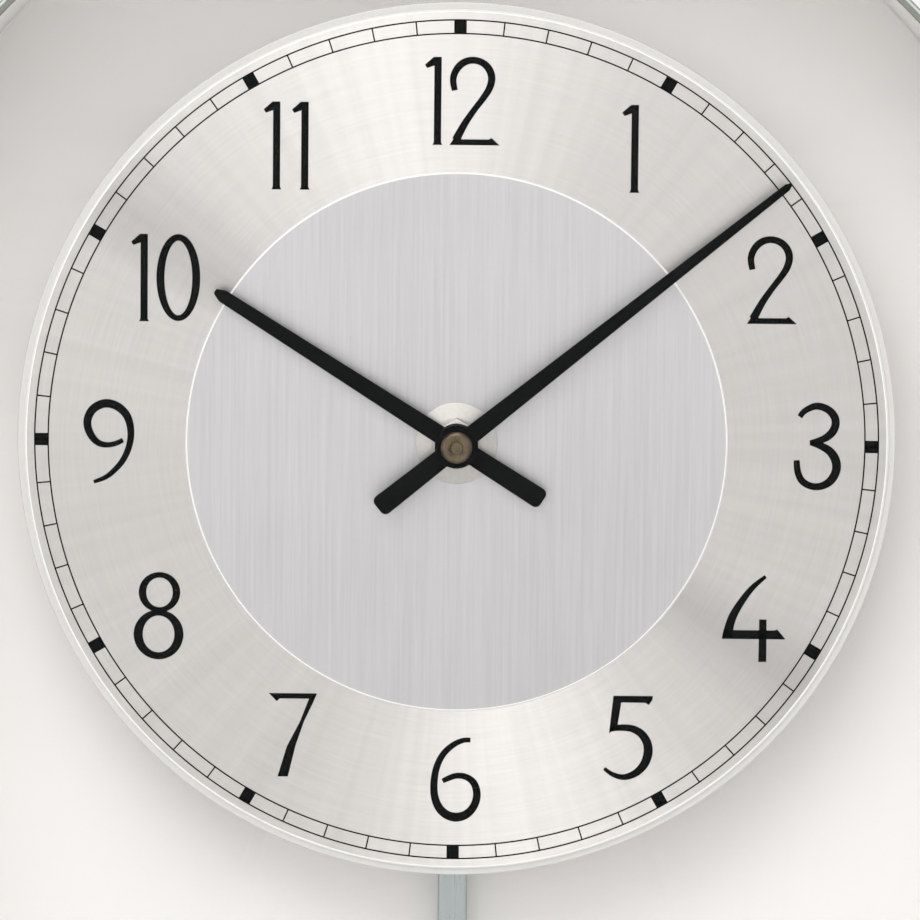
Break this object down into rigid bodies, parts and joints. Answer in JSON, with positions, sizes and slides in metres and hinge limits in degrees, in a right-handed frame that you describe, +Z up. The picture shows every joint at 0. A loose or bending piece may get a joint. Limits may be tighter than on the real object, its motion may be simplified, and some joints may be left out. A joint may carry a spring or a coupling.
{
  "type": "pendulum wall clock",
  "caption": "Arched pendulum wall clock: a round brushed dial with black hands stands before a silver panel in a slim metal band behind a hinged glass door, with a flat rod and a round bob.",
  "frame": {"origin": "on the wall plane, straight behind the arbor of the hands", "axes": "+Z up, +Y into the wall, so the clock faces -Y and +X is the viewer's right"},
  "size_m": [0.3165, 0.0884, 0.65],
  "materials": {
    "case_metal": "satin anodised, grey",
    "panel_lacquer": "satin silver lacquer",
    "door_glass": "clear mineral glass, ground edge",
    "zinc_steel": "zinc plated",
    "hinge_metal": "satin nickel",
    "rubber_black": "moulded",
    "carrier_steel": "plain",
    "dial_aluminium": "brushed in circles, polished bevel",
    "centre_aluminium": "brushed upright",
    "housing_plastic": "fine spark-eroded",
    "pale_nickel": "pale plated brass",
    "cell_wrap": "printed wrap, no text",
    "board_green": "solder mask",
    "crystal_can": "bright can",
    "copper_winding": "enamelled copper wire",
    "soft_iron": "laminated",
    "magnet_dark": "ferrite",
    "gear_nylon": "natural moulded",
    "arbor_steel": "turned",
    "hand_black": "matte black",
    "hand_nut_brass": "turned",
    "rod_metal": "brushed along its length",
    "bob_metal": "brushed in circles, polished rim",
    "bob_steel": "grey zinc",
    "rating_brass": "knurled"
  },
  "bodies": {
    "case": {"case_band": "case_metal", "bottom_rail": "case_metal", "corner_brackets": "zinc_steel", "corner_bracket_screws": "zinc_steel", "back_panel": "panel_lacquer", "panel_brackets": "zinc_steel", "panel_bracket_screws": "zinc_steel", "hanger_plate": "zinc_steel", "hanger_screws": "zinc_steel", "wall_bumpers": "rubber_black", "case_hinge_leaves": "hinge_metal", "hinge_pins": "zinc_steel", "hinge_leaf_screws": "zinc_steel", "catch_bracket": "housing_plastic", "catch_screw": "zinc_steel", "catch_magnet": "magnet_dark", "dial_posts": "carrier_steel", "post_screws": "zinc_steel", "dial_carrier": "carrier_steel", "carrier_screws": "zinc_steel", "dial_ring": "dial_aluminium", "dial_centre_disc": "centre_aluminium", "movement_front_cover": "housing_plastic", "movement_rear_cover": "housing_plastic", "movement_screws": "zinc_steel", "mounting_gasket": "rubber_black", "fixing_washer": "pale_nickel", "fixing_nut": "pale_nickel", "battery": "cell_wrap", "battery_contacts": "zinc_steel", "circuit_board": "board_green", "quartz_crystal": "crystal_can", "motor_stator": "soft_iron", "motor_coil": "copper_winding", "drive_coil": "copper_winding", "pivot_pin": "zinc_steel", "pivot_clip": "zinc_steel"},
    "door": {"door_glass": "door_glass", "door_hinge_leaves": "hinge_metal", "door_knob": "hinge_metal", "knob_screw": "zinc_steel", "strike_disc": "zinc_steel"},
    "minute_work": {"minute_arbor": "arbor_steel", "clutch_spring": "arbor_steel", "minute_hand": "hand_black", "hand_nut": "hand_nut_brass", "setting_knob": "housing_plastic"},
    "hour_work": {"hour_wheel": "gear_nylon", "hour_hand": "hand_black"},
    "reversing_work": {"reversing_wheel": "gear_nylon"},
    "centre_work": {"centre_wheel": "gear_nylon"},
    "third_work": {"third_wheel": "gear_nylon"},
    "intermediate_work": {"intermediate_wheel": "gear_nylon"},
    "rotor_work": {"rotor": "gear_nylon"},
    "pendulum": {"pendulum_lever": "gear_nylon", "drive_magnet": "magnet_dark", "pendulum_rod": "rod_metal", "bob_weight": "bob_steel", "bob_disc": "bob_metal", "rating_nut": "rating_brass"}
  },
  "joints": [
    {"name": "door_swing", "type": "hinge", "parent": "case", "child": "door", "pos_m": [-0.1586, -0.0769, 0], "axis": [0, 0, -1], "range_deg": [0, 110]},
    {"name": "minute_turn", "type": "hinge", "parent": "case", "child": "minute_work", "pos_m": [0, -0.05, 0], "axis": [0, 1, 0], "continuous": true},
    {"name": "hour_turn", "type": "hinge", "parent": "case", "child": "hour_work", "pos_m": [0, -0.05, 0], "axis": [0, 1, 0], "continuous": true},
    {"name": "reversing_turn", "type": "hinge", "parent": "case", "child": "reversing_work", "pos_m": [-0.0084, -0.038, 0], "axis": [0, 1, 0], "continuous": true},
    {"name": "rotor_turn", "type": "hinge", "parent": "case", "child": "rotor_work", "pos_m": [0.01005, -0.028, -0.01851], "axis": [0, 1, 0], "continuous": true},
    {"name": "intermediate_turn", "type": "hinge", "parent": "case", "child": "intermediate_work", "pos_m": [0.0123, -0.03, -0.0123], "axis": [0, 1, 0], "continuous": true},
    {"name": "third_turn", "type": "hinge", "parent": "case", "child": "third_work", "pos_m": [0.00679, -0.033, -0.00679], "axis": [0, 1, 0], "continuous": true},
    {"name": "centre_turn", "type": "hinge", "parent": "case", "child": "centre_work", "pos_m": [0, -0.035, 0], "axis": [0, 1, 0], "continuous": true},
    {"name": "pendulum_swing", "type": "hinge", "parent": "case", "child": "pendulum", "pos_m": [0, -0.0185, -0.032], "axis": [0, 1, 0], "range_deg": [-8, 8]}
  ],
  "couplings": [
    {"joint": "hour_turn", "follows": "minute_turn", "ratio": 0.083333},
    {"joint": "reversing_turn", "follows": "minute_turn", "ratio": -0.33333},
    {"joint": "intermediate_turn", "follows": "rotor_turn", "ratio": -0.1},
    {"joint": "third_turn", "follows": "rotor_turn", "ratio": 0.0083333},
    {"joint": "centre_turn", "follows": "rotor_turn", "ratio": -0.00055556}
  ]
}
